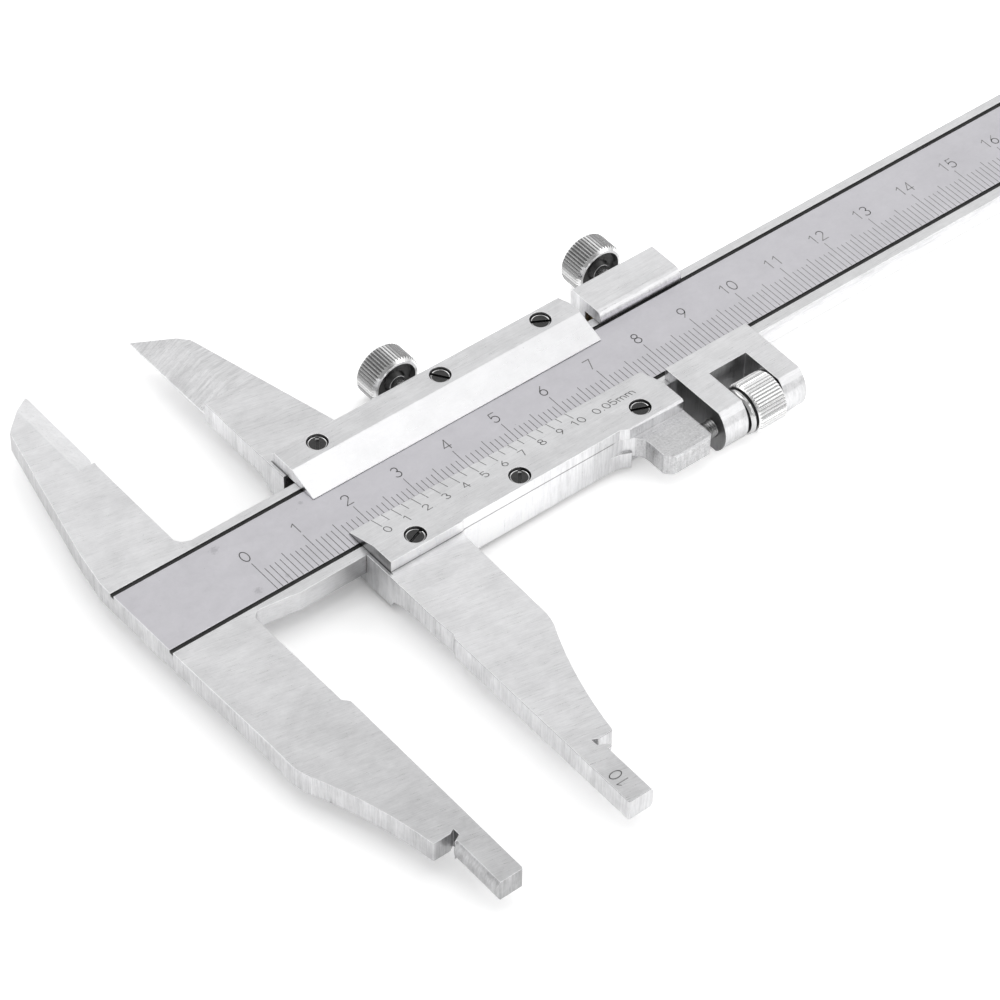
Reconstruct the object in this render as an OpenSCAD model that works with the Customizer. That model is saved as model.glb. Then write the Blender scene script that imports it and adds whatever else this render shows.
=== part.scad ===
// Vernier caliper with nib jaws, knife-edge upper jaws and a fine-adjustment carriage.
// Drawn about its scale: X runs along the beam from the zero mark, Y points to the knife jaws,
// Z = 0 is the graduated face. place() then moves everything so that the origin is at the middle
// of the bottom of the bounding box.

/* [Range] */
// Largest measurement that the main scale reads
measuring_range = 250; // [150:10:300]
// Distance between the measuring faces as drawn
opening = 20.2; // [5:0.1:60]
// Beam left over beyond the scale, which carries the slider and carriage at full range
beam_tail = 95; // [90:1:120]

/* [Beam] */
// Thickness of the beam and of the jaws
beam_t = 4; // [3.6:0.1:4.4]
// Scale centre line to the upper edge of the beam
beam_top = 9.6; // [9.4:0.1:9.8]
// Scale centre line to the lower edge of the beam
beam_bottom = 9.95; // [9.8:0.05:10.1]
// Scale centre line to each long groove
groove_y = 7.62; // [7.4:0.02:7.8]
// Width of each long groove
groove_w = 0.8; // [0.5:0.1:1]
// Depth of each long groove
groove_d = 0.35; // [0.2:0.05:0.5]

/* [Jaws] */
// Fixed measuring face to the zero mark of the main scale
zero_offset = 5.2; // [4.5:0.1:6]
// Scale centre line to the tips of the lower jaws
lower_reach = 74; // [70:1:80]
// Scale centre line to the tips of the knife jaws
upper_reach = 54; // [50:1:60]
// Width of each nib; the two nibs together read 10 mm
nib_w = 5; // [4.5:0.5:5]
// Radius of the outer face of a nib, for measuring bores
nib_r = 3.2; // [3:0.1:4]
// Width of the bevel on the fixed knife jaw
fixed_knife_w = 4.2; // [3.5:0.1:6]
// Width of the bevel on the moving knife jaw
moving_knife_w = 5.5; // [3.5:0.1:6]

/* [Slider] */
// Length of the slider body
slider_l = 60; // [57:0.1:61]
// Width of the slider body
slider_w = 31; // [30:0.5:33]
// Thickness of the back web that runs behind the beam
web_t = 2.25; // [2:0.05:3]
// Thickness of the vernier plate and of the cover strip
plate_t = 2.25; // [2:0.05:2.6]
// Running clearance between the beam and what slides on it
run_gap = 0.05; // [0.03:0.01:0.1]

/* [Fine adjustment] */
// Gap between the slider and the carriage as drawn
carriage_gap = 2.35; // [1:0.05:4]
// Length of the carriage
carriage_l = 17.4; // [16:0.1:19]
// Width of the window that holds the adjusting nut
window_w = 7.9; // [7.5:0.1:8.5]
// Diameter of the adjusting nut over its knurl
nut_d = 9; // [8:0.1:10]
// Thread diameter of the adjusting rod
rod_d = 3; // [2.5:0.1:3]
// Pitch of the adjusting rod
rod_pitch = 0.5; // [0.5:0.05:0.6]

/* [Screws] */
// Diameter of the knurled locking screws
lock_head_d = 9.7; // [9:0.1:10]
// Thickness of the knurled head of a locking screw
lock_head_t = 4.9; // [4:0.1:5.5]
// Thread diameter of a locking screw
lock_d = 3; // [2.5:0.1:3]
// Head diameter of the slotted plate screws
plate_screw_d = 3.5; // [3:0.1:3.6]

/* [Hidden] */
$fn = 48;

eps = 0.01;
mid_z = -beam_t / 2;
front_z = run_gap;
back_z = -beam_t - run_gap;
web_z = back_z - web_t;
top_z = front_z + plate_t;

beam_end = measuring_range + beam_tail;
fixed_face = -zero_offset;
fixed_outer = 15.8;
moving_face = fixed_face + opening;
knife_z = mid_z - 0.4;
knife_gap = 0.25;

slider_x = moving_face + 0.2;
slider_end = slider_x + slider_l;
plate_x = slider_x + 0.7;
slider_y = slider_w / 2;
rail_wall_y = slider_y - 0.45;
rail_y = 11.7;
gib_t = rail_y - beam_top - 0.25;

carriage_x = slider_end + carriage_gap;
carriage_end = carriage_x + carriage_l;
window_x = carriage_x + 4.9;
nut_y = -20.5;
nut_gap = 0.1;
arm_y = -18.7;
arm_r = 5.3;

lock_y = 19.5;
lock_z = mid_z - 0.45;
slider_lock_x = plate_x + 28.2;
carriage_lock_x = carriage_x + 9.9;

plate_hole_d = plate_screw_d + 0.2;
plate_hole_h = 1.35;
screw_core_d = 2;
vernier_screw_x = [6.7, 27.7, 52.7];
vernier_screw_y = -12.9;
cover_screw_x = [7, 32, 53];
cover_screw_y = 12.9;

// ---- placement -------------------------------------------------------------------------------

box_left = fixed_face - fixed_outer;
box_mid_x = (box_left + beam_end) / 2;
box_mid_y = (upper_reach - lower_reach) / 2;
box_low_z = lock_z - lock_head_d / 2;

module place() { translate([-box_mid_x, -box_mid_y, -box_low_z]) children(); }

// ---- outlines --------------------------------------------------------------------------------

// points on an arc, from angle a0 to angle a1
function arc(c, r, a0, a1, n) =
    [for (i = [0:n]) let (a = a0 + (a1 - a0) * i / n) c + r * [cos(a), sin(a)]];

// A jaw outline is drawn as [distance from the measuring face, Y]. side is -1 for the fixed jaw,
// which lies to the left of its face, and 1 for the moving jaw.
function jaw_points(points, face, side) = [for (p = points) [face + side * p[0], p[1]]];

// lower jaw from the root of its back edge, round the nib, to the root of its inner edge
function lower_jaw(back, shoulder_y, relief) =
    let (
        corner_r = 10.4,
        corner_c = [back - corner_r, shoulder_y + 25.5],
        sweep_r = 83,
        sweep_low = 8.9,
        sweep_high = 24.2,
        shoulder = back - 7.3,
        sweep_c = [shoulder + sweep_r * cos(sweep_low), shoulder_y - sweep_r * sin(sweep_low)]
    )
    concat(
        arc(corner_c, corner_r, 0, -sweep_high, 6),
        arc(sweep_c, sweep_r, 180 - sweep_high, 180 - sweep_low, 8),
        [
            [shoulder - 0.2, shoulder_y - 0.1],
            [4.3, shoulder_y - 0.1],
            [3.4, shoulder_y + 0.4],
            [3.4, shoulder_y - 1],
            [nib_w, shoulder_y - 1.8],
            [nib_w, -lower_reach + 0.3],
            [nib_w - 0.3, -lower_reach],
            [0.2, -lower_reach],
            [0, -lower_reach + 0.2],
            [0, -32.6],
            [relief, -31.5]
        ]
    );

// knife jaw from the root of its inner edge, round the tip, to the root of its back edge
function upper_jaw(relief, edge, corner, root) = [
    [relief, 32.1],
    [edge + (relief - edge) * 0.7, 34],
    [edge, 36],
    [edge, upper_reach - 0.3],
    [edge + 0.25, upper_reach],
    corner,
    corner + [0.35, -1.3],
    root
];

module beam_outline() {
    corner = 0.8;
    relief_r = 1.6;
    polygon(concat(
        [[beam_end - corner, beam_top], [-4.6, beam_top], [-5.9, 10.2], [fixed_face - 1.4, 11.3]],
        jaw_points(upper_jaw(1.4, knife_gap, [8.1, 46.9], [14.7, 17.7]), fixed_face, -1),
        [[box_left, 10.7], [box_left, 8], [-20.5, -14.8], [-20, -32]],
        jaw_points(lower_jaw(14.8, -62.2, 1), fixed_face, -1),
        // shallow ground relief where the lower edge of the beam meets the jaw
        arc([fixed_face + 0.4, -beam_bottom - 0.55], relief_r, 180, 80, 6),
        [
            [0.5, -beam_bottom + 0.35],
            [2.2, -beam_bottom],
            [beam_end - corner, -beam_bottom],
            [beam_end, -beam_bottom + corner],
            [beam_end, beam_top - corner]
        ]
    ));
}

module slider_outline() {
    inner_y = -beam_bottom - run_gap;
    fillet = 1.1;
    boss_x = slider_end - 9.2;
    boss_y = -23.6;
    boss_fillet = 3.7;
    polygon(concat(
        jaw_points(lower_jaw(14.5, -61.5, 0.45), moving_face, 1),
        [
            [slider_x, -28],
            [slider_x, inner_y],
            [slider_end, inner_y],
            [slider_end, boss_y + 0.7],
            [slider_end - 0.7, boss_y],
            [boss_x + 1.5, boss_y],
            [boss_x, boss_y + 1.5]
        ],
        arc([boss_x - boss_fillet, -rail_wall_y - boss_fillet], boss_fillet, 0, 90, 6),
        arc([moving_face + 14.9 + fillet, -rail_wall_y - fillet], fillet, 90, 180, 4)
    ));
    polygon(concat(
        [[slider_end, rail_y], [slider_x, rail_y]],
        jaw_points(upper_jaw(0.2, 0, [7.15, 46.4], [14.4, 17]), moving_face, 1),
        [
            [slider_x + 14.6, slider_y],
            [slider_end - 0.8, slider_y],
            [slider_end, slider_y - 2.4]
        ]
    ));
}

// ---- shared cuts -----------------------------------------------------------------------------

// removes the two bevels that bring a knife jaw to an edge
module knife_bevels(edge_x, side, width) {
    low_y = 33;
    for (rise = [front_z - knife_z, back_z - knife_z])
        translate([edge_x, low_y, knife_z])
            rotate([-90, 0, 0])
                linear_extrude(height = upper_reach - low_y + 1)
                    polygon([
                        [-side, 0],
                        [0, 0],
                        [side * width, -rise],
                        [side * width, -2 * rise],
                        [-side, -2 * rise]
                    ]);
}

// removes the corners of a nib outside its cylindrical outer face
module nib_rounding(face, side) {
    high_y = -63.9;
    length = lower_reach + high_y + 1;
    axis_u = nib_w - nib_r;
    translate([face + side * axis_u, high_y, mid_z])
        rotate([90, 0, 0])
            difference() {
                translate([side > 0 ? 0 : -nib_r - 1, -beam_t, 0])
                    cube([nib_r + 1, 2 * beam_t, length]);
                translate([0, 0, -1])
                    cylinder(r = nib_r, h = length + 2, $fn = 64);
            }
}

module along_y(x, y, z) { translate([x, y, z]) rotate([-90, 0, 0]) children(); }
module along_x(x, y, z) { translate([x, y, z]) rotate([0, 90, 0]) children(); }

// ---- beam with the fixed jaws ----------------------------------------------------------------

module beam_solid() {
    difference() {
        translate([0, 0, -beam_t])
            linear_extrude(height = beam_t)
                beam_outline();
        for (s = [-1, 1])
            translate([box_left - 1, s * groove_y - groove_w / 2, -groove_d])
                cube([beam_end - box_left + 2, groove_w, 1]);
        knife_bevels(fixed_face - knife_gap, -1, fixed_knife_w);
        nib_rounding(fixed_face, -1);
    }
}

module beam() { color("gainsboro") place() beam_solid(); }

// ---- slider ----------------------------------------------------------------------------------

module slider_solid() {
    difference() {
        union() {
            translate([0, 0, back_z])
                linear_extrude(height = front_z - back_z)
                    slider_outline();
            translate([slider_x, -rail_wall_y, web_z])
                cube([slider_l, rail_wall_y + slider_y, web_t + eps]);
            // the rails continue down to the web
            translate([slider_x, -rail_wall_y, web_z])
                cube([slider_l, rail_wall_y - beam_bottom - run_gap, web_t + 1]);
            translate([slider_x, rail_y, web_z])
                cube([slider_l, slider_y - rail_y, web_t + 1]);
            // the web flares a little way along the fillet of the boss
            translate([0, 0, web_z])
                linear_extrude(height = web_t + 1)
                    polygon([
                        [slider_end - 16, -rail_wall_y + 1],
                        [slider_end - 14.6, -rail_wall_y],
                        [slider_end - 12.6, -rail_wall_y - 0.25],
                        [slider_end - 10.8, -rail_wall_y - 1.1],
                        [slider_end - 9.2, -rail_wall_y + 0.6],
                        [slider_end - 9.2, -rail_wall_y + 1]
                    ]);
            // the web runs out to the jaws: a cove below and a chamfer above
            translate([slider_x, 0, 0])
                rotate([90, 0, 90])
                    linear_extrude(height = 14.5)
                        polygon([
                            [-slider_y + 1, web_z],
                            [-slider_y - 0.7, web_z],
                            [-slider_y - 1.3, web_z + 1.2],
                            [-slider_y - 3.8, back_z + eps],
                            [-slider_y + 1, back_z + eps]
                        ]);
            translate([slider_x, 0, 0])
                rotate([90, 0, 90])
                    linear_extrude(height = 13.5)
                        polygon([
                            [slider_y - 1, web_z],
                            [slider_y - 0.2, web_z],
                            [slider_y + 2.2, back_z + eps],
                            [slider_y - 1, back_z + eps]
                        ]);
        }
        knife_bevels(moving_face, 1, moving_knife_w);
        nib_rounding(moving_face, 1);
        for (x = vernier_screw_x)
            translate([plate_x + x, vernier_screw_y, front_z - 4])
                cylinder(d = screw_core_d, h = 5, $fn = 24);
        for (x = cover_screw_x)
            translate([plate_x + x, cover_screw_y, front_z - 4])
                cylinder(d = screw_core_d, h = 5, $fn = 24);
        along_y(slider_lock_x, rail_y - 1, lock_z)
            cylinder(d = lock_d + 2 * run_gap, h = slider_y - rail_y + 2);
        along_x(slider_end - 8, nut_y, mid_z)
            cylinder(d = rod_d, h = 9);
        // broken outer edges of the boss
        for (z = [front_z, back_z])
            translate([slider_end - 5, -23.6, z])
                rotate([45, 0, 0])
                    cube([14, 0.5, 0.5], center = true);
        // hole for the pin that holds the rod, from the back of the boss
        translate([slider_end - 5, nut_y, back_z - 1])
            cylinder(d = 1.2, h = 4.3, $fn = 24);
    }
}

module slider_frame() { color("gainsboro") place() slider_solid(); }

// section of a front plate in [Y, Z]: flat top, small outer chamfer and a long bevel to its edge
module plate_section(outer, crest, tip) {
    edge_t = 0.2;
    s = sign(outer);
    polygon([
        [outer, front_z],
        [outer, top_z - 0.35],
        [outer - s * 0.35, top_z],
        [crest, top_z],
        [tip, front_z + edge_t],
        [tip, front_z]
    ]);
}

module front_plate(outer, crest, tip, screws, screw_y) {
    difference() {
        translate([plate_x, 0, 0])
            rotate([90, 0, 90])
                linear_extrude(height = slider_end - plate_x)
                    plate_section(outer, crest, tip);
        for (x = screws)
            translate([plate_x + x, screw_y, 0]) {
                translate([0, 0, top_z - plate_hole_h])
                    cylinder(d = plate_hole_d, h = plate_hole_h + 1, $fn = 36);
                cylinder(d = screw_core_d + 0.1, h = top_z + 1, center = true, $fn = 24);
            }
    }
}

module vernier_plate() {
    long_y = -slider_y - 0.5;
    tip_left = -4.55;
    tip_right = -5.3;
    color("lightgray") place()
        difference() {
            front_plate(long_y, -11, tip_left, vernier_screw_x, vernier_screw_y);
            // the thin edge over the scale is ground back a little towards the right
            translate([0, 0, -1])
                linear_extrude(height = top_z + 2)
                    polygon([
                        [plate_x - 1, tip_left],
                        [plate_x, tip_left],
                        [slider_end, tip_right],
                        [slider_end + 1, tip_right],
                        [slider_end + 1, 0],
                        [plate_x - 1, 0]
                    ]);
            // ground back flush with the rail between the jaw and the boss
            translate([slider_x, 0, -1])
                linear_extrude(height = top_z + 2)
                    polygon([
                        [-1, long_y - 1],
                        [-1, -slider_y + 0.2],
                        [14.8, -slider_y + 0.2],
                        [15.4, -rail_wall_y],
                        [47.3, -rail_wall_y],
                        [48.8, -slider_y - 0.3],
                        [slider_l + 1, long_y - 0.05],
                        [slider_l + 1, long_y - 1]
                    ]);
        }
}

module cover_strip() {
    color("whitesmoke") place()
        difference() {
            front_plate(slider_y, 10.35, 4.75, cover_screw_x, cover_screw_y);
            // the far corner is cut back
            translate([slider_end - 0.8, slider_y, -1])
                linear_extrude(height = top_z + 2)
                    polygon([[0, 0], [0.8, -2.4], [2, -2.4], [2, 1], [0, 1]]);
        }
}

// cheese-head screw, its head on the floor of the counterbore
module plate_screw(x, y, slot_angle) {
    head_h = 0.95;
    seat_z = top_z - plate_hole_h;
    translate([plate_x + x, y, seat_z])
        difference() {
            union() {
                cylinder(d = plate_screw_d, h = head_h - 0.2, $fn = 36);
                translate([0, 0, head_h - 0.2])
                    cylinder(d1 = plate_screw_d, d2 = plate_screw_d - 0.4, h = 0.2, $fn = 36);
                translate([0, 0, -4])
                    cylinder(d = screw_core_d - 0.04, h = 4 + eps, $fn = 24);
            }
            rotate([0, 0, slot_angle])
                translate([-plate_screw_d, -0.3, head_h - 0.5])
                    cube([2 * plate_screw_d, 0.6, 1]);
        }
}

module vernier_screw_1() { color("dimgray") place() plate_screw(vernier_screw_x[0], vernier_screw_y, 20); }
module vernier_screw_2() { color("dimgray") place() plate_screw(vernier_screw_x[1], vernier_screw_y, 51); }
module vernier_screw_3() { color("dimgray") place() plate_screw(vernier_screw_x[2], vernier_screw_y, -23); }
module cover_screw_1() { color("dimgray") place() plate_screw(cover_screw_x[0], cover_screw_y, 55); }
module cover_screw_2() { color("dimgray") place() plate_screw(cover_screw_x[1], cover_screw_y, -56); }
module cover_screw_3() { color("dimgray") place() plate_screw(cover_screw_x[2], cover_screw_y, -30); }

// flat strip between the beam and a rail, with a dimple that the locking screw sits in
module gib(x, length, dimple_x) {
    y = beam_top + 0.1;
    difference() {
        translate([x, y, -beam_t + 0.3])
            cube([length, gib_t, beam_t - 0.6]);
        along_y(dimple_x, y + gib_t - 0.45, lock_z)
            cylinder(d = 2.1, h = 1, $fn = 24);
    }
}

module slider_gib() {
    color("darkgoldenrod") place()
        gib(slider_x + 4, slider_l - 8, slider_lock_x);
}

// ---- locking screws --------------------------------------------------------------------------

// straight knurl of triangular teeth, turned down to a chamfer at each end
module knurl(teeth, tip_r, root_r, length, chamfer_1, chamfer_2) {
    outer_r = tip_r + 0.02;
    intersection() {
        linear_extrude(height = length)
            polygon([for (i = [0:2 * teeth - 1])
                let (a = 180 * i / teeth, r = i % 2 == 0 ? tip_r : root_r)
                [r * cos(a), r * sin(a)]]);
        rotate_extrude($fn = 96)
            polygon([
                [0, 0],
                [outer_r - 0.8 * chamfer_1, 0],
                [outer_r, chamfer_1],
                [outer_r, length - chamfer_2],
                [outer_r - chamfer_2, length],
                [0, length]
            ]);
    }
}

// local Z runs from the tip of the screw to the outside of its head
module lock_screw(x) {
    tip_y = beam_top + 0.1 + gib_t - 0.4;
    tip_l = 0.8;
    head_z = lock_y - tip_y;
    neck_r = 2.1;
    dish_r = lock_head_d / 2 - 1.05;
    dish_d = 0.7;
    along_y(x, tip_y, lock_z)
        union() {
            cylinder(d = 1.8, h = tip_l + eps, $fn = 24);
            translate([0, 0, tip_l])
                cylinder(d = lock_d, h = head_z - tip_l + dish_d);
            // hub in the middle of the dished face
            translate([0, 0, head_z - 0.1])
                cylinder(r1 = lock_d / 2 + 0.1, r2 = neck_r, h = dish_d + 0.1 + eps);
            translate([0, 0, head_z])
                difference() {
                    knurl(50, lock_head_d / 2, lock_head_d / 2 - 0.32, lock_head_t, 0.75, 0.4);
                    translate([0, 0, -eps])
                        cylinder(r1 = dish_r, r2 = dish_r - 0.4, h = dish_d + eps);
                }
        }
}

module slider_lock_screw() { color("silver") place() lock_screw(slider_lock_x); }
module carriage_lock_screw() { color("silver") place() lock_screw(carriage_lock_x); }

// ---- fine-adjustment carriage ----------------------------------------------------------------

// end of the lower block in [Y, Z]: an arc about a line near the rod
module lower_block_section() {
    inner_y = -8.6;
    half_t = top_z - mid_z;
    a = asin(half_t / arm_r);
    polygon(concat(
        [[inner_y, front_z], [inner_y, top_z]],
        arc([arm_y, mid_z], arm_r, 180 - a, 180 + a, 14),
        [
            [-beam_bottom - run_gap, web_z],
            [-beam_bottom - run_gap, front_z]
        ]
    ));
}

// section of the upper block in [Y, Z], with a rounded lip over the beam
module upper_block_section() {
    lip_r = 1.5;
    polygon(concat(
        [[rail_y, front_z], [7.7, front_z]],
        arc([7.7 + lip_r, top_z - lip_r], lip_r, 180, 90, 8),
        [
            [slider_y - 0.3, top_z],
            [slider_y, top_z - 0.3],
            [slider_y, web_z],
            [rail_y, web_z]
        ]
    ));
}

module carriage_solid() {
    difference() {
        union() {
            translate([carriage_x, 0, 0])
                rotate([90, 0, 90])
                    linear_extrude(height = carriage_l)
                        lower_block_section();
            translate([carriage_x, 0, 0])
                rotate([90, 0, 90])
                    linear_extrude(height = carriage_l)
                        upper_block_section();
            translate([carriage_x, -slider_y, web_z])
                cube([carriage_l, slider_w, web_t]);
        }
        translate([window_x, -30, web_z - 1])
            cube([window_w, 30 - 13.85, top_z - web_z + 2]);
        along_x(carriage_x - 1, nut_y, mid_z)
            cylinder(d = rod_d + 0.2, h = carriage_l + 2);
        along_y(carriage_lock_x, rail_y - 1, lock_z)
            cylinder(d = lock_d + 2 * run_gap, h = slider_y - rail_y + 2);
    }
}

module carriage() { color("gainsboro") place() carriage_solid(); }

module carriage_gib() {
    color("darkgoldenrod") place()
        gib(carriage_x + 1, carriage_l - 2, carriage_lock_x);
}

// threaded rod: plain end pinned in the boss of the slider, thread through the nut
module rod_solid() {
    plain_l = 8.5;
    start_x = slider_end - 7.9;
    core_r = rod_d / 2 - 0.54 * rod_pitch;
    turns = floor((carriage_end - 0.5 - start_x - plain_l) / rod_pitch);
    difference() {
        along_x(start_x, nut_y, mid_z)
            rotate_extrude($fn = 32)
                polygon(concat(
                    [[0, 0], [rod_d / 2 - 0.35, 0], [rod_d / 2 - 0.02, 0.35], [rod_d / 2 - 0.02, plain_l]],
                    [for (i = [0:turns - 1], k = [0:1])
                        [k == 0 ? core_r : rod_d / 2, plain_l + (i + 0.25 + 0.5 * k) * rod_pitch]],
                    [
                        [core_r, plain_l + turns * rod_pitch],
                        [core_r, plain_l + turns * rod_pitch + 0.4],
                        [0, plain_l + turns * rod_pitch + 0.4]
                    ]
                ));
        translate([slider_end - 5, nut_y, back_z - 1])
            cylinder(d = 1.2, h = 4.3, $fn = 24);
    }
}

module adjust_rod() { color("gray") place() rod_solid(); }

module rod_pin() {
    color("silver") place()
        translate([slider_end - 5, nut_y, back_z + 0.1])
            cylinder(d = 1.18, h = 3.2, $fn = 24);
}

// nut with a small hub and a plain thrust collar at its left end, and a neck before the knurl
module nut_solid() {
    hub_r = 2.6;
    hub_l = 0.35;
    collar_r = 4.05;
    collar_l = 1.1;
    neck_r = 3.4;
    neck_l = 0.22;
    edge = 0.35;
    length = window_w - 2 * nut_gap;
    collar_z = hub_l + collar_l;
    knurl_z = collar_z + neck_l;
    along_x(window_x + nut_gap, nut_y, mid_z)
        difference() {
            union() {
                rotate_extrude($fn = 64)
                    polygon([
                        [0, 0],
                        [hub_r, 0],
                        [hub_r, hub_l],
                        [collar_r - edge, hub_l],
                        [collar_r, hub_l + edge],
                        [collar_r, collar_z - edge],
                        [collar_r - edge, collar_z],
                        [neck_r, collar_z],
                        [neck_r, knurl_z + 0.5],
                        [0, knurl_z + 0.5]
                    ]);
                translate([0, 0, knurl_z])
                    knurl(46, nut_d / 2, nut_d / 2 - 0.33, length - knurl_z, 0.5, 0.5);
            }
            translate([0, 0, -1])
                cylinder(d = rod_d + 2 * run_gap, h = length + 2);
        }
}

module adjust_nut() { color("silver") place() nut_solid(); }

beam();
slider_frame();
vernier_plate();
cover_strip();
vernier_screw_1();
vernier_screw_2();
vernier_screw_3();
cover_screw_1();
cover_screw_2();
cover_screw_3();
slider_gib();
slider_lock_screw();
carriage();
carriage_gib();
carriage_lock_screw();
adjust_rod();
rod_pin();
adjust_nut();
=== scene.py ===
# Looks of the vernier caliper: steel materials, engraved scales, camera, floor and studio light.
# Places are millimetres in the scale's own frame: X from the zero mark, Y from the middle of the
# two grooves and Z from the graduated face. A material's tone runs from 0, black, to 1, white.
import math

import bpy
from mathutils import Matrix, Vector


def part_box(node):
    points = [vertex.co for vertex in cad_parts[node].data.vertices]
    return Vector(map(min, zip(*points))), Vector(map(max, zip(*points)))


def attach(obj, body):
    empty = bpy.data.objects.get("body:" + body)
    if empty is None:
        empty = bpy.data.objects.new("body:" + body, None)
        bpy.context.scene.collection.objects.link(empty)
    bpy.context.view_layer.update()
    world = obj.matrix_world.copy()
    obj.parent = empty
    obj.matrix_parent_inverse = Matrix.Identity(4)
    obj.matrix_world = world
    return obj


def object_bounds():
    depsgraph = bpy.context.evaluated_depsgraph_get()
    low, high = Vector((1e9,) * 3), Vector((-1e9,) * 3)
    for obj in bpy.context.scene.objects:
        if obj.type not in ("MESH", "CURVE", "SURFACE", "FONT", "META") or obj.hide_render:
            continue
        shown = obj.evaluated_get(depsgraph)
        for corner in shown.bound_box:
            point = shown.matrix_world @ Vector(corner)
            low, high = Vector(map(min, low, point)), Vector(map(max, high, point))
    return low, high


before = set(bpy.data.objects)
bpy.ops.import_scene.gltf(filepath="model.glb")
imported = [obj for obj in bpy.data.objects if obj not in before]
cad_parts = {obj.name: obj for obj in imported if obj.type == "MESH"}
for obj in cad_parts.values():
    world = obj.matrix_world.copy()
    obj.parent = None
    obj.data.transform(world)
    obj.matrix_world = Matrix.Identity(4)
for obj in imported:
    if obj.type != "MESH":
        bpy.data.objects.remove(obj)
CAD_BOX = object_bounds()
MM = 0.001

# ---- the scale's frame: the fixed jaw's width, its gap to the zero mark, and the jaw's reach
FIXED_JAW_W, ZERO_OFFSET, LOWER_REACH = 15.8, 5.2, 74.0
beam_low, beam_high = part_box("beam")
ORIGIN = Vector((
    beam_low.x + (FIXED_JAW_W + ZERO_OFFSET) * MM,
    beam_low.y + LOWER_REACH * MM,
    beam_high.z,
))


def at(x, y, z=0.0):
    """A point given in the scale's frame, in the row frame and in metres."""
    return ORIGIN + Vector((x, y, z)) * MM


def middle_of(node):
    """The middle of a node at rest, in the scale's frame."""
    low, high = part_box(node)
    return ((low + high) / 2 - ORIGIN) / MM


# ---- places and sizes on the caliper
OPENING = 20.2
GROOVE_Y, GROOVE_W = 7.62, 0.8
SCALE_FACE_HALF = 7.25
JAW_EDGE_X, BEAM_EDGE_Y = -5.1, -10.0
FRAME_EDGE_Y, FRAME_HALF, FRONT_WALL_Y = 15.75, 15.8, -16.2
BOSS_TOP_Y, BOSS_START_X = -16.3, 59.25
KNIFE_START_Y = 31.5
SEAM_Z, SEAM_END_X = 0.05, 61.5
plate_low, plate_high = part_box("vernier_plate")
PLATE_LEFT = (plate_low.x - ORIGIN.x) / MM
PLATE_LENGTH = (plate_high.x - plate_low.x) / MM
PLATE_FRONT, PLATE_TOP, PLATE_CREST, TIP_T = 0.05, 2.3, -11.0, 0.2
PLATE_TIP, PLATE_TIP_RIGHT = -4.55, -5.3
WINDOW_X, WINDOW_W = middle_of("adjust_nut").x, 7.9
WINDOW_TOP_Y = -11.25
NUT_NECK_X = WINDOW_X - WINDOW_W / 2 + 1.66
RIM_R, HUB_R = 3.85, 1.5
RIM_DISH = 0.32

# ---- finish of the ground steel: grain turned on the jaws and cuts slanted on the knife, in degrees
JAW_GRAIN_TURN, KNIFE_CUT_TURN = 11.5, -5
# tones of the side walls: the carriage's walls and the slider's lower walls are set darker as painted
# shade
STEEL_WALL, CARRIAGE_WALL, SLIDER_LOW_WALL = 0.76, 0.7, 0.71
STEEL_ROUGH, STEEL_TINT = 0.3, (1.0, 1.0, 1.012)
SATIN_TONE, SATIN_ROUGH, SATIN_TINT = 0.655, 0.36, (1.0, 0.985, 1.035)

# x, y and size of the faint stains on the scale face
STAINS = ((-2.9, 5.65, 0.9), (13.9, 5.5, 0.5), (2.9, -5.85, 0.5), (-2.6, -5.6, 0.8))


# ---- node helpers ---------------------------------------------------------------------------

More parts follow.
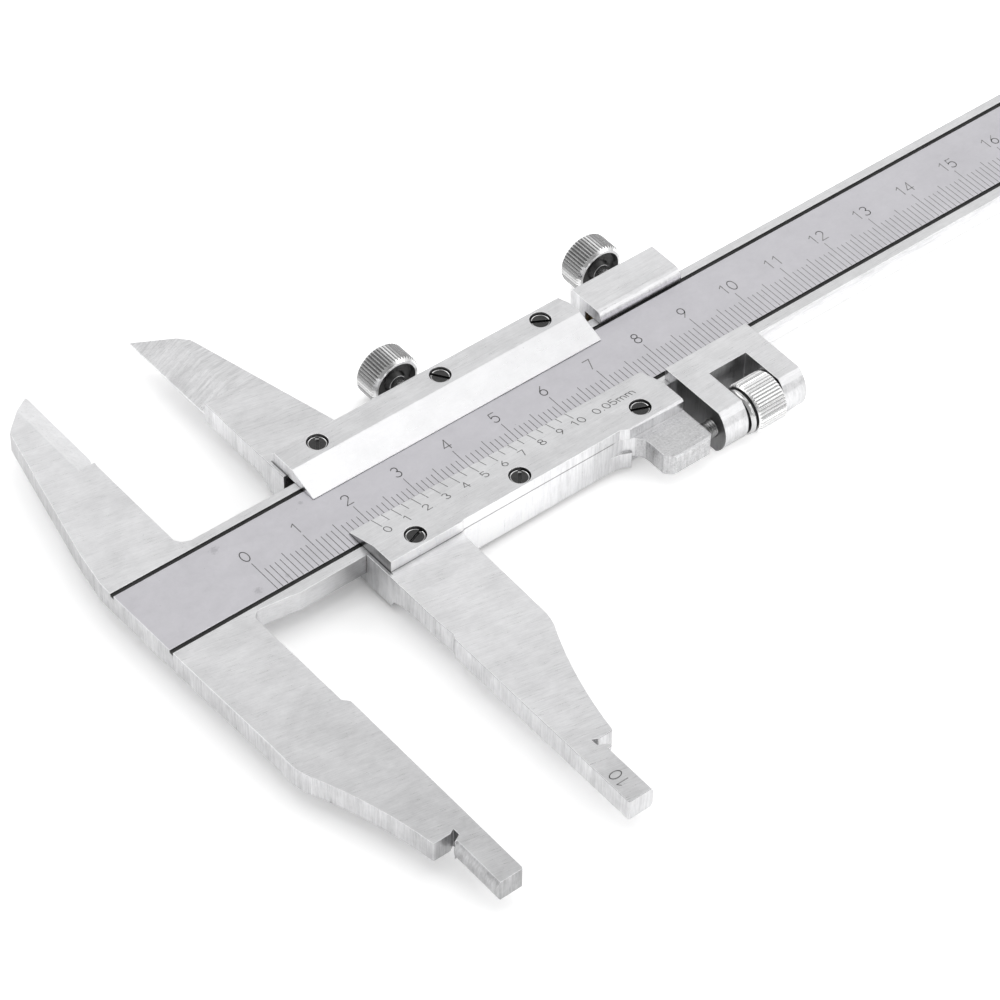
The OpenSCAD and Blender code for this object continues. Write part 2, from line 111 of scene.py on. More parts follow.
class Nodes:
    """Fills an emptied node tree. A number or a socket goes wherever a value is asked for."""

    def __init__(self, tree):
        self.tree = tree
        self.tree.nodes.clear()

    def new(self, kind, settings=None, **inputs):
        node = self.tree.nodes.new(kind)
        for key, value in (settings or {}).items():
            setattr(node, key, value)
        for key, value in inputs.items():
            self.put(node.inputs[key.replace("_", " ")], value)
        return node

    def put(self, socket, value):
        if isinstance(value, bpy.types.NodeSocket):
            self.tree.links.new(value, socket)
        else:
            socket.default_value = value

    def fill(self, node, values):
        """Sets a node's inputs from pairs of input number and value."""
        for index, value in values:
            self.put(node.inputs[index], value)
        return node

    def math(self, operation, a, b=0.0, c=0.0, clamp=False):
        node = self.new("ShaderNodeMath", {"operation": operation, "use_clamp": clamp})
        return self.fill(node, enumerate((a, b, c))).outputs[0]

    def times(self, first, *others):
        for other in others:
            first = self.math("MULTIPLY", first, other)
        return first

    def plus(self, first, *others):
        for other in others:
            first = self.math("ADD", first, other)
        return first

    def minus(self, a, b, clamp=False):
        return self.math("SUBTRACT", a, b, clamp=clamp)

    def swung(self, pattern, amount):
        """A pattern around 0.5, turned into a swing around 0."""
        return self.times(self.minus(pattern, 0.5), amount)

    def vector(self, operation, a, b=(0.0, 0.0, 0.0), scale=1.0):
        node = self.new("ShaderNodeVectorMath", {"operation": operation})
        self.fill(node, ((0, a), (1, b), (3, scale)))
        return node.outputs[1 if operation in ("DOT_PRODUCT", "LENGTH") else 0]

    def spread(self, value, low, high, out_low=0.0, out_high=1.0, smooth=False):
        """Maps low to out_low and high to out_high, and holds both beyond them."""
        kind = "SMOOTHSTEP" if smooth else "LINEAR"
        node = self.new("ShaderNodeMapRange", {"interpolation_type": kind}, Value=value)
        for key, number in (("From Min", low), ("From Max", high),
                            ("To Min", out_low), ("To Max", out_high)):
            self.put(node.inputs[key], number)
        return node.outputs[0]

    def above(self, value, limit, soft):
        """1 above the limit and 0 below it, turning over twice the soft width."""
        return self.spread(value, limit - soft, limit + soft)

    def below(self, value, limit, soft):
        return self.spread(value, limit + soft, limit - soft)

    def band(self, value, centre, half, soft):
        """1 within half of centre, falling to 0 over soft."""
        off = self.math("ABSOLUTE", self.minus(value, centre))
        return self.spread(off, half, half + soft, 1.0, 0.0)

    def mix(self, factor, a, b):
        """A colour between a and b."""
        node = self.new("ShaderNodeMix", {"data_type": "RGBA"})
        return self.fill(node, ((0, factor), (6, a), (7, b))).outputs[2]

    def mix_place(self, factor, a, b):
        """A place between a and b."""
        node = self.new("ShaderNodeMix", {"data_type": "VECTOR"})
        return self.fill(node, ((0, factor), (4, a), (5, b))).outputs[1]

    def blend(self, factor, a, b):
        """A number between a and b."""
        node = self.new("ShaderNodeMix", {"data_type": "FLOAT"})
        return self.fill(node, ((0, factor), (2, a), (3, b))).outputs[0]

    def grey(self, value):
        return self.new("ShaderNodeCombineColor", Red=value, Green=value, Blue=value).outputs[0]

    def noise(self, vector, scale=1.0, detail=3.0, roughness=0.55, distortion=0.0):
        node = self.new("ShaderNodeTexNoise", Vector=vector, Scale=scale, Detail=detail,
                        Roughness=roughness, Distortion=distortion)
        return node.outputs["Fac"]


class Shader(Nodes):
    """Builds one material, in the scale's own millimetres."""

    def __init__(self, name):
        self.material = bpy.data.materials.new(name)
        self.material.use_nodes = True
        super().__init__(self.material.node_tree)
        self.output = self.new("ShaderNodeOutputMaterial")
        coordinates = self.new("ShaderNodeTexCoord").outputs
        moved = self.vector("SUBTRACT", coordinates["Object"], tuple(ORIGIN))
        self.place = self.vector("SCALE", moved, scale=1 / MM)
        self.x, self.y, self.z = self.new("ShaderNodeSeparateXYZ", Vector=self.place).outputs
        normal = self.new("ShaderNodeSeparateXYZ", Vector=coordinates["Normal"])
        self.nx, self.ny, self.nz = normal.outputs

    def scaled(self, sx, sy, sz, shift=0.0):
        """The place in millimetres, stretched for a streaky pattern and moved to a new part of it."""
        stretched = self.vector("MULTIPLY", self.place, (sx, sy, sz))
        return self.vector("ADD", stretched, (shift, shift * 1.7, shift * 0.6))

    def turned(self, degrees):
        """The place, turned about the Z axis."""
        node = self.new("ShaderNodeVectorRotate", {"rotation_type": "Z_AXIS"},
                        Vector=self.place, Angle=math.radians(degrees))
        return node.outputs[0]

    def radius(self, node, axes):
        """Distance from a node's middle, along the axes that are 1."""
        off = self.vector("SUBTRACT", self.place, tuple(middle_of(node)))
        return self.vector("LENGTH", self.vector("MULTIPLY", off, axes))

    def facing(self, normal, start, full):
        """1 where a part of the normal passes full, and 0 before start."""
        return self.spread(normal, start, full)

    def edges(self, radius_mm, samples=6):
        """A normal rounded over sharp edges, and a mask of where it bends."""
        bevel = self.new("ShaderNodeBevel", {"samples": samples}, Radius=radius_mm * MM)
        true_normal = self.new("ShaderNodeNewGeometry").outputs["Normal"]
        same = self.vector("DOT_PRODUCT", bevel.outputs[0], true_normal)
        return bevel.outputs[0], self.spread(same, 0.99, 0.8)

    def openness(self, distance_mm):
        """1 in the open, falling towards 0 in recesses."""
        node = self.new("ShaderNodeAmbientOcclusion", {"samples": 8}, Distance=distance_mm * MM)
        return node.outputs["AO"]

    def finish(self, color, metallic, roughness, height=None, depth_mm=0.01, normal=None, **extra):
        shader = self.new("ShaderNodeBsdfPrincipled", Base_Color=color, Metallic=metallic,
                          Roughness=roughness, **extra)
        if height is not None:
            bump = self.new("ShaderNodeBump", Strength=1.0, Distance=depth_mm * MM, Height=height)
            if normal is not None:
                self.put(bump.inputs["Normal"], normal)
            normal = bump.outputs[0]
        if normal is not None:
            self.put(shader.inputs["Normal"], normal)
        self.put(self.output.inputs["Surface"], shader.outputs[0])
        return self.material


# ---- ground steel ---------------------------------------------------------------------------

def jaw_and_boss(s, part):
    """Masks of the jaw and of the slider's boss. Only the beam and the slider have a jaw."""
    if part == "beam":
        on_jaw = s.math("MAXIMUM", s.below(s.x, JAW_EDGE_X, 0.2), s.below(s.y, BEAM_EDGE_Y, 0.1))
        return on_jaw, 0.0
    if part == "slider":
        on_jaw = s.math("MAXIMUM", s.below(s.y, -FRAME_EDGE_Y, 0.15),
                        s.above(s.y, FRAME_EDGE_Y, 0.15))
        on_boss = s.times(s.below(s.y, BOSS_TOP_Y, 0.2), s.above(s.x, BOSS_START_X, 0.75))
        return s.minus(on_jaw, on_boss, clamp=True), on_boss
    return 0.0, 0.0


def grinding(s, on_jaw, lengthwise):
    """Streaks along the faces, turned on a jaw, and upright marks on the other walls."""
    where = s.mix_place(on_jaw, s.place, s.turned(JAW_GRAIN_TURN))
    fine = s.noise(s.vector("MULTIPLY", where, (0.3, 5.0, 5.0)), detail=4.0, roughness=0.75)
    broad = s.noise(s.vector("MULTIPLY", where, (0.06, 1.0, 1.0)), detail=3.0)
    along = s.plus(s.times(fine, 0.8), s.times(broad, 0.2))
    upright = s.noise(s.scaled(3.0, 3.0, 0.22, 9.0), detail=4.0, roughness=0.7)
    upright_broad = s.noise(s.scaled(0.7, 0.7, 0.12, 2.0), detail=3.0)
    walls = s.plus(s.times(upright, 0.6), s.times(upright_broad, 0.4))
    return s.blend(lengthwise, walls, along)


def base_tone(s, part, face, flat, front):
    """Tone of the faces, the front walls and the other walls, as it changes along the part. The front
    walls are painted lighter, and the walls lighter and darker by place: painted light and shade.
    """
    if part == "beam":
        # painted light on the beam's front wall, lighter further down, and painted shade on it
        # between the jaws
        beam_wall_lit_below = s.spread(s.z, -0.2, -3.2, 0.76, 0.97)
        shade_between_jaws = s.spread(s.x, 6.0, 15.0, 0.72, 0.42)
        front_light_tone = s.blend(s.spread(s.x, 20.0, 21.0), shade_between_jaws, beam_wall_lit_below)
        # painted shade: the beam's walls are darker, most towards the lower jaw's tip and on the
        # upper jaw
        wall = s.times(STEEL_WALL, s.spread(s.y, -52.0, -70.0, 0.88, 0.6),
                       s.spread(s.y, 0.0, 14.0, 1.0, 0.85))
    else:
        # painted light: the front walls are lighter, less so past the boss's start
        front_light_tone = s.spread(s.x, 42.0, 58.0, 1.0, 0.8)
        wall = STEEL_WALL
    # painted shade: the carriage's walls and the slider's lower walls are darker
    if part == "carriage":
        wall = CARRIAGE_WALL
    elif part == "slider":
        wall = s.spread(s.y, -15.0, -20.0, STEEL_WALL, SLIDER_LOW_WALL)
    # front walls take the lighter tone, painted light, and the other walls the wall tone
    return s.blend(flat, s.blend(front, wall, front_light_tone), face)


def recess_grime_and_shade(s, part, sideways):
    """Darkening in the recesses, partly grime and partly painted shade, and painted shade inside the
    carriage's window and in the gap before it.
    """
    big = part in ("beam", "slider")
    # darker where the steel is closed in: grime, and painted shade of the recesses
    grime_with_shade = s.spread(s.openness(2.6), 0.62, 0.2, 0.0, 0.8 if big else 0.5)
    if big:
        grime_with_shade = s.times(grime_with_shade, s.spread(s.y, -42.0, -36.0, 0.3, 1.0))
    if part == "carriage":
        # painted shade inside the carriage's window and on the walls facing the gap before it
        inside = s.times(s.band(s.x, WINDOW_X, WINDOW_W / 2 + 0.06, 0.03), sideways,
                         s.below(s.y, WINDOW_TOP_Y, 0.25))
        facing_gap = s.times(s.facing(s.nx, -0.5, -0.8), s.spread(s.y, -11.0, -12.0),
                             s.spread(s.x, WINDOW_X - 6.0, WINDOW_X - 8.0))
        grime_with_shade = s.math("MAXIMUM", grime_with_shade, s.times(inside, 0.42))
        grime_with_shade = s.math("MAXIMUM", grime_with_shade, s.times(facing_gap, 0.6))
    return grime_with_shade


def plate_seam(s, part, tone, flat, sideways):
    """Darkens the tone along the seam between the vernier plate and the slider's frame: a dark joint
    line deepened by painted shade. Also paints shadow on the frame left of the plate and shade on the
    plate's walls facing left.
    """
    # a dark line at the joint, deepened as painted shade
    seam = s.times(s.band(s.z, SEAM_Z, 0.08, 0.06), sideways)
    if part == "slider":
        # painted shadow: a dark line on the frame just left of the vernier plate
        plate_end_shadow = s.times(s.band(s.x, PLATE_LEFT - 0.05, 0.08, 0.06),
                            s.band(s.y, 0.0, FRAME_HALF, 0.05))
        seam = s.math("MAXIMUM", seam, s.times(plate_end_shadow, flat))
    else:
        # painted shade: the plate's walls facing left are darker
        left_wall_shade = s.spread(s.nx, -0.5, -0.8, 0.0, 0.62)
        tone = s.times(tone, s.minus(1.0, left_wall_shade))
    seam = s.times(seam, s.below(s.x, SEAM_END_X, 0.5))
    return s.times(tone, s.blend(seam, 1.0, 0.35))


def stained(s, tone, satin):
    """Faint uneven stains on the scale face."""
    blot = s.noise(s.place, scale=2.5, detail=4.0, roughness=0.7, distortion=0.6)
    for x, y, size in STAINS:
        off = s.vector("SUBTRACT", s.place, (x, y, 0.0))
        far = s.plus(s.vector("LENGTH", off), s.times(blot, size * 3.0))
        stain = s.times(s.spread(far, size * 2.5, size * 1.9), satin)
        tone = s.minus(tone, s.times(stain, 0.12))
    return tone


def ground_steel(name, part, face=0.76):
    """Fine-ground steel: streaky grain on flat faces, upright grinding marks on side walls, cloudy
    patches, edges lightened partly by polish and partly as a painted highlight, specks, and grime and
    painted shade in the recesses. The front walls are painted lighter, and the walls and jaws lighter
    and darker by place, as painted light and shade. part is beam, slider, plate, cover or carriage:
    it says where the grain turns and which patches the part has."""
    s = Shader(name)
    flat = s.facing(s.math("ABSOLUTE", s.nz), 0.55, 0.75)
    sideways = s.minus(1.0, flat)
    # walls facing the front, which base_tone paints lighter as painted light
    front = s.times(s.facing(s.times(s.ny, -1.0), 0.5, 0.9), s.above(s.y, FRONT_WALL_Y, 0.1),
                    sideways)
    on_jaw, on_boss = jaw_and_boss(s, part)
    grain = grinding(s, on_jaw, s.math("MAXIMUM", flat, front) if part == "beam" else flat)
    tone = base_tone(s, part, face, flat, front)
    wall_swing = s.blend(front, 0.8, s.spread(s.x, 40.0, 56.0, 0.4, 0.9))
    swing = s.swung(grain, s.blend(flat, wall_swing, 0.45 if part == "slider" else 0.36))
    cloud = s.noise(s.scaled(0.16, 0.22, 0.22, 6.0), detail=5.0, roughness=0.6, distortion=0.3)
    mottle = s.noise(s.place, scale=0.9, detail=5.0, roughness=0.7, distortion=0.5)
    drift = s.plus(s.swung(cloud, s.blend(on_jaw, 0.26, 0.3)), s.swung(mottle, 0.13))
    rounded, edge = s.edges(0.2)
    roughness = s.plus(STEEL_ROUGH, s.swung(grain, 0.2))
    metallic = 1.0
    if part == "slider":
        jaw_top = s.times(flat, on_jaw)
        # the slightly tilted facet on top of the jaw is lightened as a painted sheen
        facet = s.times(s.facing(s.nz, 0.99, 0.96), jaw_top)
        # painted light and shade on the moving jaw's faces: lighter near the middle, darker towards
        # the lower tip and on the upper jaw
        jaw_light_and_shade = s.minus(s.spread(s.y, -56.0, -68.0, 0.085, -0.08),
                       s.spread(s.y, 0.0, 15.0, 0.0, 0.085))
        tone = s.plus(tone, s.times(jaw_top, jaw_light_and_shade), s.times(facet, 0.045))
        cuts = s.noise(s.vector("MULTIPLY", s.turned(KNIFE_CUT_TURN), (0.16, 1.7, 0.2)),
                       detail=3.0, roughness=0.7)
        on_knife = s.times(s.above(s.y, KNIFE_START_Y, 1.5), flat)
        pits = s.noise(s.place, scale=2.6, detail=5.0, roughness=0.8)
        swing = s.plus(swing, s.times(on_knife, s.swung(cuts, 0.55)),
                       s.times(on_boss, s.swung(pits, 0.75)))
        tone = s.minus(tone, s.times(on_boss, s.blend(flat, 0.13, 0.115)))
    elif part == "beam":
        # painted light and shade on the fixed jaw's faces: lighter towards the upper jaw, darker
        # towards the lower tip
        jaw_light_and_shade = s.plus(s.spread(s.y, -40.0, 40.0, 0.03, 0.075),
                      s.spread(s.y, -22.0, -62.0, 0.0, -0.125))
        tone = s.plus(tone, s.times(flat, on_jaw, jaw_light_and_shade))
        across = s.math("ABSOLUTE", s.y)
        satin = s.times(s.below(across, SCALE_FACE_HALF, 0.05), s.facing(s.nz, 0.7, 0.9))
        tone = stained(s, s.blend(satin, tone, SATIN_TONE), satin)
        swing = s.times(swing, s.blend(satin, 1.0, 0.12))
        drift = s.times(drift, s.blend(satin, 1.0, 0.55))
        roughness = s.blend(satin, roughness, SATIN_ROUGH)
    elif part == "cover":
        # the tilted facet of the cover strip is lightened as a painted sheen, with fainter grain and
        # patches
        facet = s.times(s.facing(s.nz, 0.99, 0.96), flat)
        tone = s.plus(tone, s.times(facet, 0.085))
        swing = s.times(swing, s.blend(facet, 1.0, 0.25))
        drift = s.times(drift, s.blend(facet, 1.0, 0.6))
    # grain and patches swing the tone, and sharp edges are lightened, partly polish and partly a
    # painted highlight
    tone = s.plus(tone, s.plus(swing, drift, s.times(edge, 0.25)))
    if part in ("plate", "slider"):
        tone = plate_seam(s, part, tone, flat, sideways)
    # grime and painted shade in the recesses darken the tone
    tone = s.times(tone, s.minus(1.0, recess_grime_and_shade(s, part, sideways)))
    speck = s.spread(s.noise(s.place, scale=1.3, detail=2.0), 0.74, 0.78)
    tone = s.minus(tone, s.times(speck, 0.16), clamp=True)
    color = s.vector("MULTIPLY", s.grey(tone), STEEL_TINT)
    if part == "beam":
        color = s.mix(satin, color, s.vector("MULTIPLY", s.grey(tone), SATIN_TINT))
        # painted shade: the inside of the two undercut grooves is made near black and matt
        line = s.band(across, GROOVE_Y, GROOVE_W / 2 + 0.02, 0.04)
        depth = s.times(s.spread(s.z, -0.008, -0.03), s.spread(s.z, -0.8, -0.5))
        groove_shade = s.times(line, depth)
        groove_tone = s.spread(s.noise(s.scaled(0.5, 3.0, 3.0), detail=3.0), 0.3, 0.7, 0.012, 0.04)
        color = s.mix(groove_shade, color, s.grey(groove_tone))
        roughness = s.blend(groove_shade, roughness, 0.6)
        metallic = s.blend(groove_shade, 1.0, 0.0)
    return s.finish(color, metallic, roughness, height=grain, normal=rounded)


# ---- turned, oiled and etched metal ---------------------------------------------------------

def plated(name, level=0.97, rough=0.12, bright_openness=0.8, screw=None):
    """Plated turned metal: fine turning lines, grime and painted shade in the hollows of a knurl, and
    edges lightened partly by polish and partly as a painted highlight. The nut has a neck darkened by
    grime and painted shade, and a collar toned down as painted shade. A thumb screw has an inner face
    made dark as painted shade, and a brighter hub."""
    s = Shader(name)
    turning = s.noise(s.scaled(3.0, 9.0, 3.0), detail=3.0)
    cloud = s.noise(s.place, scale=0.7, detail=4.0, roughness=0.6)
    rounded, edge = s.edges(0.06)
    # darker in the hollows: grime, and painted shade of the knurl's grooves
    grime_with_shade = s.times(s.spread(s.openness(0.5), bright_openness, 0.4), 0.9)
    tone = s.blend(grime_with_shade, s.plus(level, s.swung(cloud, 0.16)), 0.1 * level)
    # sharp edges lightened, partly polish and partly a painted highlight
    tone = s.math("ADD", tone, s.times(edge, 0.1), clamp=True)
    roughness = s.plus(rough, s.swung(turning, 0.14), s.times(grime_with_shade, 0.3))
    if screw:
        radius = s.radius(screw, (1.0, 0.0, 1.0))
        near = s.facing(s.times(s.ny, -1.0), 0.3, 0.45)
        rim = s.times(s.above(radius, RIM_R, 0.04), near)
        hub = s.spread(radius, HUB_R + 0.1, HUB_R)
        # painted shade: the thumb screw's inner face, facing the front, is made dark, round its
        # bright rim and hub
        inner_face_shade = s.minus(s.minus(near, rim), hub, clamp=True)
        tone = s.blend(inner_face_shade, s.blend(s.math("MAXIMUM", rim, hub), tone, 0.92), 0.075)
        roughness = s.blend(inner_face_shade, s.blend(rim, roughness, 0.1), 0.4)
    else:
        # grime and painted shade darken the nut's neck
        neck = s.band(s.x, NUT_NECK_X, 0.25, 0.1)
        tone = s.blend(s.times(neck, grime_with_shade), tone, 0.3)
        # painted shade: the nut's collar is toned down
        collar = s.spread(s.x, NUT_NECK_X, NUT_NECK_X - 0.16)
        tone = s.times(tone, s.blend(collar, 1.0, 0.68))
    return s.finish(s.grey(tone), 1.0, roughness, height=turning, depth_mm=0.006, normal=rounded)


def dark_steel(name, level=0.07, rough=0.35, screw=None):
    """Oiled dark steel, its edges lightened partly by polish and partly as a painted highlight. A
    sunk screw has a dished rim round its dark slotted head, painted bright as a highlight.
    """
    s = Shader(name)
    turning = s.noise(s.scaled(2.0, 2.0, 2.0), detail=4.0, roughness=0.7)
    rounded, edge = s.edges(0.08)
    tone = s.plus(level, s.swung(turning, level))
    # sharp edges lightened, partly polish and partly a painted highlight
    tone = s.math("ADD", tone, s.times(edge, 0.2), clamp=True)
    roughness = s.plus(rough, s.swung(turning, 0.3))
    height, depth_mm = turning, 0.01
    if screw:
        low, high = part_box(screw)
        head_r = (high.x - low.x) / 2 / MM
        radius = s.radius(screw, (1.0, 1.0, 0.0))
        height, depth_mm = s.spread(radius, head_r - RIM_DISH, head_r), RIM_DISH
        # painted highlight: a bright ring on the dished rim of the dark screw head
        rim = s.times(s.above(radius, head_r - RIM_DISH, 0.03), s.facing(s.nz, 0.8, 0.95))
        tone = s.blend(rim, tone, 0.9)
    return s.finish(s.grey(tone), 1.0, roughness, height=height, depth_mm=depth_mm, normal=rounded)


def bronze(name):
    """Bronze, worn in streaks along the beam."""
    s = Shader(name)
    worn = s.noise(s.scaled(0.2, 3.0, 3.0), detail=4.0)
    color = s.mix(worn, (0.30, 0.22, 0.12, 1), (0.50, 0.38, 0.20, 1))
    return s.finish(color, 1.0, s.spread(worn, 0.3, 0.7, 0.3, 0.5), height=worn)


def engraving(name, dark=0.10, pale=0.24):
    """Etched lines: dark grey, uneven along their length, and paler towards the free end."""
    s = Shader(name)
    uneven = s.noise(s.place, scale=2.2, detail=3.0)
    tone = s.plus(s.spread(uneven, 0.3, 0.7, dark, pale), s.spread(s.x, 60.0, 110.0, 0.0, 0.09))
    return s.finish(s.grey(tone), 0.5, 0.55, height=uneven)


# ---- finishes of the CAD parts --------------------------------------------------------------

def paint(material, *names):
    for name in names:
        mesh_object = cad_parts[name]
        if not mesh_object.material_slots:
            mesh_object.data.materials.append(material)
        for slot in mesh_object.material_slots:
            slot.material = material


paint(ground_steel("beam_steel", "beam"), "beam")
paint(ground_steel("slider_steel", "slider"), "slider_frame")
paint(ground_steel("plate_steel", "plate"), "vernier_plate")
paint(ground_steel("cover_steel", "cover"), "cover_strip")
paint(ground_steel("carriage_steel", "carriage", face=0.8), "carriage")
paint(plated("bright_knurl"), "adjust_nut")
for screw in ("slider_lock_screw", "carriage_lock_screw"):
    paint(plated(screw + "_nickel", level=0.5, rough=0.2, bright_openness=0.85, screw=screw), screw)
for strip in ("vernier", "cover"):
    for i in (1, 2, 3):
        screw = "%s_screw_%d" % (strip, i)
        paint(dark_steel(screw + "_oiled", screw=screw), screw)
paint(dark_steel("rod_steel", level=0.3, rough=0.3), "adjust_rod", "rod_pin")
paint(bronze("gib_bronze"), "slider_gib", "carriage_gib")


# ---- engraved scales ------------------------------------------------------------------------

def bow(cx, cy, rx, ry, start, end, count=10):
    """Points of an elliptic arc, angles in degrees."""
    steps = [math.radians(start + (end - start) * i / count) for i in range(count + 1)]
    return [(cx + rx * math.cos(a), cy + ry * math.sin(a)) for a in steps]


# each figure is a list of strokes in a cell 0..0.62 wide and 0..1 high
FIGURES = {
    "0": [bow(0.31, 0.5, 0.29, 0.48, 90, 450, 24)],
    "1": [[(0.12, 0.78), (0.36, 0.98), (0.36, 0.02)]],
    "2": [bow(0.31, 0.72, 0.26, 0.26, 165, -35, 12) + [(0.03, 0.02), (0.59, 0.02)]],
    "3": [bow(0.29, 0.75, 0.23, 0.23, 150, -75, 12), bow(0.29, 0.28, 0.27, 0.26, 80, -155, 14)],
    "4": [[(0.46, 0.02), (0.46, 0.98), (0.02, 0.28), (0.62, 0.28)]],
    "5": [[(0.54, 0.98), (0.12, 0.98), (0.07, 0.54)] + bow(0.29, 0.33, 0.28, 0.31, 130, -150, 16)],
    "6": [[(0.47, 0.97), (0.16, 0.6), (0.06, 0.42)], bow(0.31, 0.31, 0.26, 0.29, 150, 510, 20)],
    "7": [[(0.03, 0.98), (0.58, 0.98), (0.2, 0.02)]],
    "8": [bow(0.31, 0.75, 0.22, 0.22, 90, 450, 18), bow(0.31, 0.27, 0.27, 0.26, 90, 450, 20)],
    "9": [bow(0.31, 0.69, 0.26, 0.29, -30, 330, 20), [(0.56, 0.58), (0.46, 0.4), (0.15, 0.03)]],
    ".": [[(0.1, 0.03), (0.12, 0.05)]],
    "m": [[(0.04, 0.02), (0.04, 0.66)], bow(0.24, 0.42, 0.2, 0.22, 180, 0, 8) + [(0.44, 0.02)],
          bow(0.64, 0.42, 0.2, 0.22, 180, 0, 8) + [(0.84, 0.02)]],
}


CELL_W = {"m": 0.88, ".": 0.22}
FIGURE_W = 0.62


class Engraver:
    """Collects strokes as thin round-ended bars laid on a surface of the given height."""

    def __init__(self, height):
        self.height = height
        self.vertices = []
        self.faces = []

    def stroke(self, points, width, proud=0.012, sunk=0.03, ends=5):
        """Lays a bar along each pair of points, with that many points round each end."""
        for (ax, ay), (bx, by) in zip(points, points[1:]):
            angle = math.atan2(by - ay, bx - ax)
            ring = []
            for cx, cy, turn in ((bx, by, -90), (ax, ay, 90)):
                for i in range(ends):
                    a = angle + math.radians(turn + 180 * i / (ends - 1))
                    ring.append((cx + width / 2 * math.cos(a), cy + width / 2 * math.sin(a)))
            first = len(self.vertices)
            for level in (-sunk, proud):
                for x, y in ring:
                    self.vertices.append(at(x, y, self.height(x, y) + level))
            n = len(ring)
            self.faces.append([first + i for i in reversed(range(n))])
            self.faces.append([first + n + i for i in range(n)])
            for i in range(n):
                j = (i + 1) % n
                self.faces.append([first + i, first + j, first + n + j, first + n + i])

    def write(self, words, x, y, size, width, turn=0.0, gap=0.16):
        """Writes words with the middle of their foot at x, y."""
        cells = [(FIGURES[c], CELL_W.get(c, FIGURE_W)) for c in words]
        length = sum(w for _, w in cells) + gap * (len(cells) - 1)
        pen = -length / 2
        c, s = math.cos(math.radians(turn)), math.sin(math.radians(turn))
        for strokes, w in cells:
            for points in strokes:
                local = [((pen + px) * size, py * size) for px, py in points]
                self.stroke([(x + px * c - py * s, y + px * s + py * c) for px, py in local], width)
            pen += w + gap

    def build(self, name, material, body):
        mesh = bpy.data.meshes.new(name)
        mesh.from_pydata([tuple(v) for v in self.vertices], [], self.faces)
        mesh.materials.append(material)
        piece = bpy.data.objects.new(name, mesh)
        bpy.context.scene.collection.objects.link(piece)
        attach(piece, body)


def bevel_height(x, y):
    """Height of the vernier plate's sloping face."""
    share = (PLATE_TIP - y) / (PLATE_TIP - PLATE_CREST)
    return PLATE_FRONT + TIP_T + share * (PLATE_TOP - PLATE_FRONT - TIP_T)


def plate_edge(x):
    """Y of the plate's thin edge, which is ground back a little towards the right."""
    return PLATE_TIP + (PLATE_TIP_RIGHT - PLATE_TIP) * (x - PLATE_LEFT) / PLATE_LENGTH


MARK_W = 0.13
LAST_MARK, MARK_FOOT = 290, -GROOVE_Y + GROOVE_W / 2 + 0.08
TOP_OF_TEN, TOP_OF_FIVE, TOP_OF_ONE = -0.35, -1.45, -2.4
DIVISIONS, VERNIER_SPAN = 20, 39.0
VERNIER_FOOT_Y, VERNIER_SIZE, VERNIER_PEN = -9.65, 1.75, 0.16

ink = engraving("scale_ink")
scale = Engraver(lambda x, y: 0.0)
for mark in range(LAST_MARK + 1):
    top = TOP_OF_TEN if mark % 10 == 0 else TOP_OF_FIVE if mark % 5 == 0 else TOP_OF_ONE
    scale.stroke([(mark, MARK_FOOT), (mark, top)], MARK_W)
    if mark % 10 == 0:
        scale.write(str(mark // 10), mark, 0.35, 2.3, 0.17)
scale.build("main_scale", ink, "beam")

vernier = Engraver(bevel_height)
for i in range(DIVISIONS + 1):
    x = OPENING + VERNIER_SPAN * i / DIVISIONS
    vernier.stroke([(x, plate_edge(x) - 0.1), (x, -7.4 if i % 2 == 0 else -6.8)], MARK_W)
    if i % 2 == 0 and i < DIVISIONS:
        vernier.write(str(i // 2), x + 0.1, VERNIER_FOOT_Y, VERNIER_SIZE, VERNIER_PEN)
for words, x in (("10", 59.05), ("0.05mm", 66.4)):
    vernier.write(words, x, VERNIER_FOOT_Y, VERNIER_SIZE, VERNIER_PEN)
vernier.build("vernier_scale", ink, "slider")

nib = Engraver(lambda x, y: PLATE_FRONT)
nib.write("10", 17.9, -69.5, 2.2, 0.18, turn=90)
nib.build("nib_mark", engraving("nib_ink", dark=0.18, pale=0.34), "slider")


# ---- floor, light and camera: metres in the row frame ---------------------------------------

FLOOR_SIDE, FLOOR_GAP = 4.0, 0.02 * MM
GLOW_IN_MIRROR, MATT_LIGHT = 0.35, 1.5
# height of a direction and the tent's tone there
TENT = ((0.0, 0.62), (0.12, 0.82), (0.3, 0.88), (0.7, 0.96), (0.735, 0.92), (0.765, 0.5),
        (0.83, 0.42), (0.87, 1.0), (0.92, 1.6), (1.0, 1.7))
TOWARD_CAMERA = (-0.444, -0.538, 0.717)
LAMP_TARGET = (-0.08, 0.0, 0.0)
# name, place, size and watts of each lamp
LAMPS = (("key", (0.9, -0.5, 0.8), (0.7, 0.7), 1.5),
         ("front", (-0.1, -0.95, 0.5), (1.1, 0.3), 1.7),
         ("left", (-0.85, 0.58, 0.5), (0.9, 0.4), 1.1))
CAMERA_PLACE = Vector((-0.41818, -0.36116, 0.48410))
# heading from +X, tilt from level and roll, in degrees
CAMERA_HEADING, CAMERA_TILT, CAMERA_ROLL = 50.4543, -45.7911, 0.9754
CAMERA_LENS, CAMERA_SENSOR = 151.2, 36.0


def add_object(name, data):
    added = bpy.data.objects.new(name, data)
    bpy.context.scene.collection.objects.link(added)
    return added


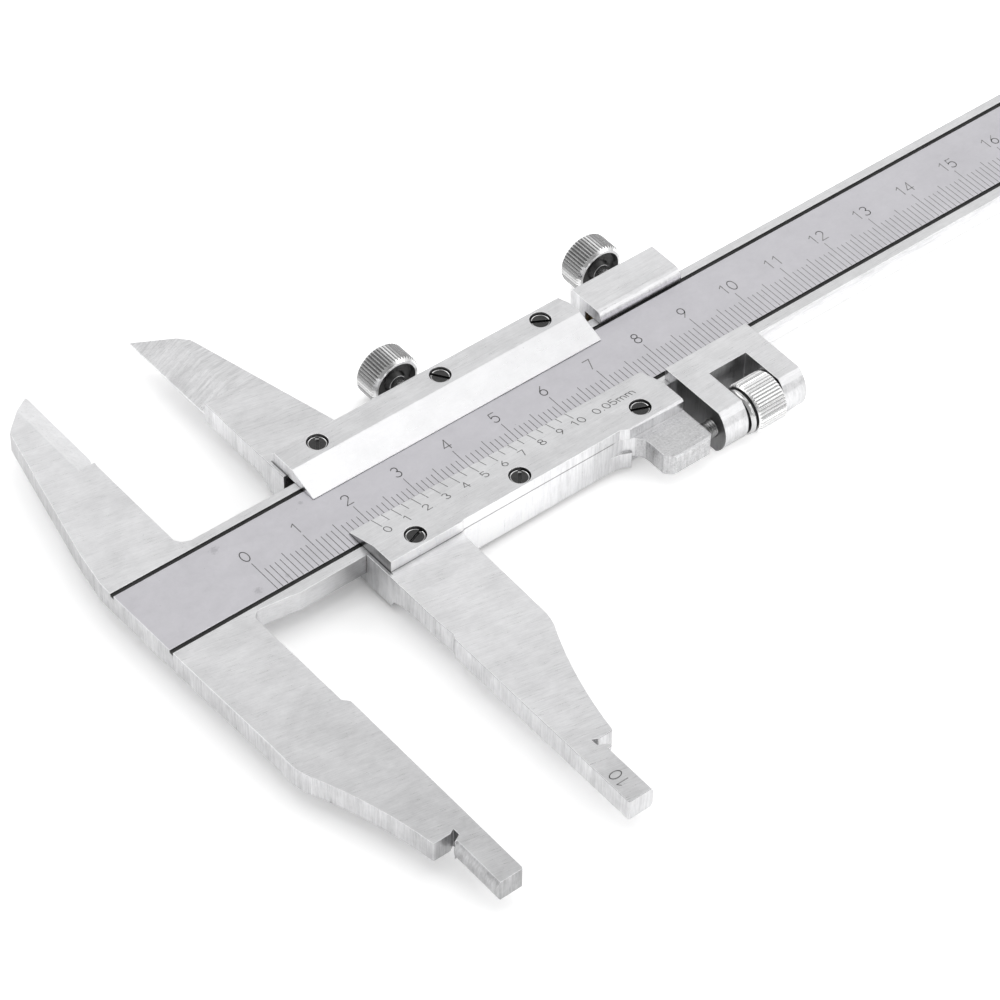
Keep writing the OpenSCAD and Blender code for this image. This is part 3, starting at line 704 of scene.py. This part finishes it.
def floor():
    """A pale floor that glows, more to the right. The glow is dimmer where the steel mirrors it."""
    a = FLOOR_SIDE
    mesh = bpy.data.meshes.new("floor")
    mesh.from_pydata([(-a, -a, 0), (a, -a, 0), (a, a, 0), (-a, a, 0)], [], [(0, 1, 2, 3)])
    s = Shader("floor_white")
    tone = s.spread(s.noise(s.place, scale=0.02, detail=2.0), 0.3, 0.7, 0.88, 0.9)
    mirrored = s.new("ShaderNodeLightPath").outputs["Is Glossy Ray"]
    glow = s.times(s.spread(s.x, 25.0, 85.0, 0.13, 0.5),
                   s.spread(mirrored, 0.0, 1.0, 1.0, GLOW_IN_MIRROR))
    mesh.materials.append(s.finish(s.grey(tone), 0.0, 0.7, Emission_Color=(1, 1, 1, 1),
                                   Emission_Strength=glow))
    plane = add_object("floor", mesh)
    plane.location = (0, 0, CAD_BOX[0].z - FLOOR_GAP)


def sky():
    """A white tent: brightest overhead, dimmer low down and on the side where the camera stands.
    Matt surfaces get more of its light than the steel mirrors back."""
    world = bpy.data.worlds.new("tent")
    world.use_nodes = True
    bpy.context.scene.world = world
    n = Nodes(world.node_tree)
    direction = n.new("ShaderNodeTexCoord").outputs["Generated"]
    rise = n.new("ShaderNodeSeparateXYZ", Vector=direction).outputs["Z"]
    ramp = n.new("ShaderNodeValToRGB", Fac=rise)
    elements = ramp.color_ramp.elements
    while len(elements) < len(TENT):
        elements.new(0.5)
    for element, (position, tone) in zip(elements, TENT):
        element.position = position
        element.color = (tone, tone, tone, 1)
    nearness = n.vector("DOT_PRODUCT", direction, TOWARD_CAMERA)
    shade = n.spread(nearness, 0.55, 0.97, 1.0, 0.35, smooth=True)
    matt = n.new("ShaderNodeLightPath").outputs["Is Diffuse Ray"]
    background = n.new("ShaderNodeBackground", Strength=n.spread(matt, 0.0, 1.0, 1.0, MATT_LIGHT),
                       Color=n.vector("SCALE", ramp.outputs[0], scale=shade))
    n.new("ShaderNodeOutputWorld", Surface=background.outputs[0])


def lamp(name, place, size, power):
    """An area lamp aimed at LAMP_TARGET."""
    light = bpy.data.lights.new(name, "AREA")
    light.shape = "RECTANGLE"
    light.size, light.size_y = size
    light.energy = power
    lamp_object = add_object(name, light)
    lamp_object.location = place
    lamp_object.rotation_mode = "QUATERNION"
    aim = Vector(LAMP_TARGET) - Vector(place)
    lamp_object.rotation_quaternion = aim.to_track_quat("-Z", "Y")


def camera():
    """The camera, turned by its heading, tilt and roll."""
    heading, tilt, roll = map(math.radians, (CAMERA_HEADING, CAMERA_TILT, CAMERA_ROLL))
    forward = Vector((math.cos(tilt) * math.cos(heading), math.cos(tilt) * math.sin(heading),
                      math.sin(tilt)))
    level = Vector((math.sin(heading), -math.cos(heading), 0.0))
    raised = level.cross(forward)
    right = level * math.cos(roll) + raised * math.sin(roll)
    up = raised * math.cos(roll) - level * math.sin(roll)
    data = bpy.data.cameras.new("camera")
    data.lens, data.sensor_width = CAMERA_LENS, CAMERA_SENSOR
    data.clip_start, data.clip_end = 0.01, 20.0
    camera_object = add_object("camera", data)
    turn = Matrix((right, up, -forward)).transposed().to_4x4()
    camera_object.matrix_world = Matrix.Translation(CAMERA_PLACE) @ turn
    bpy.context.scene.camera = camera_object


floor()
sky()
for settings in LAMPS:
    lamp(*settings)
camera()
bpy.context.scene.view_settings.view_transform = "Standard"
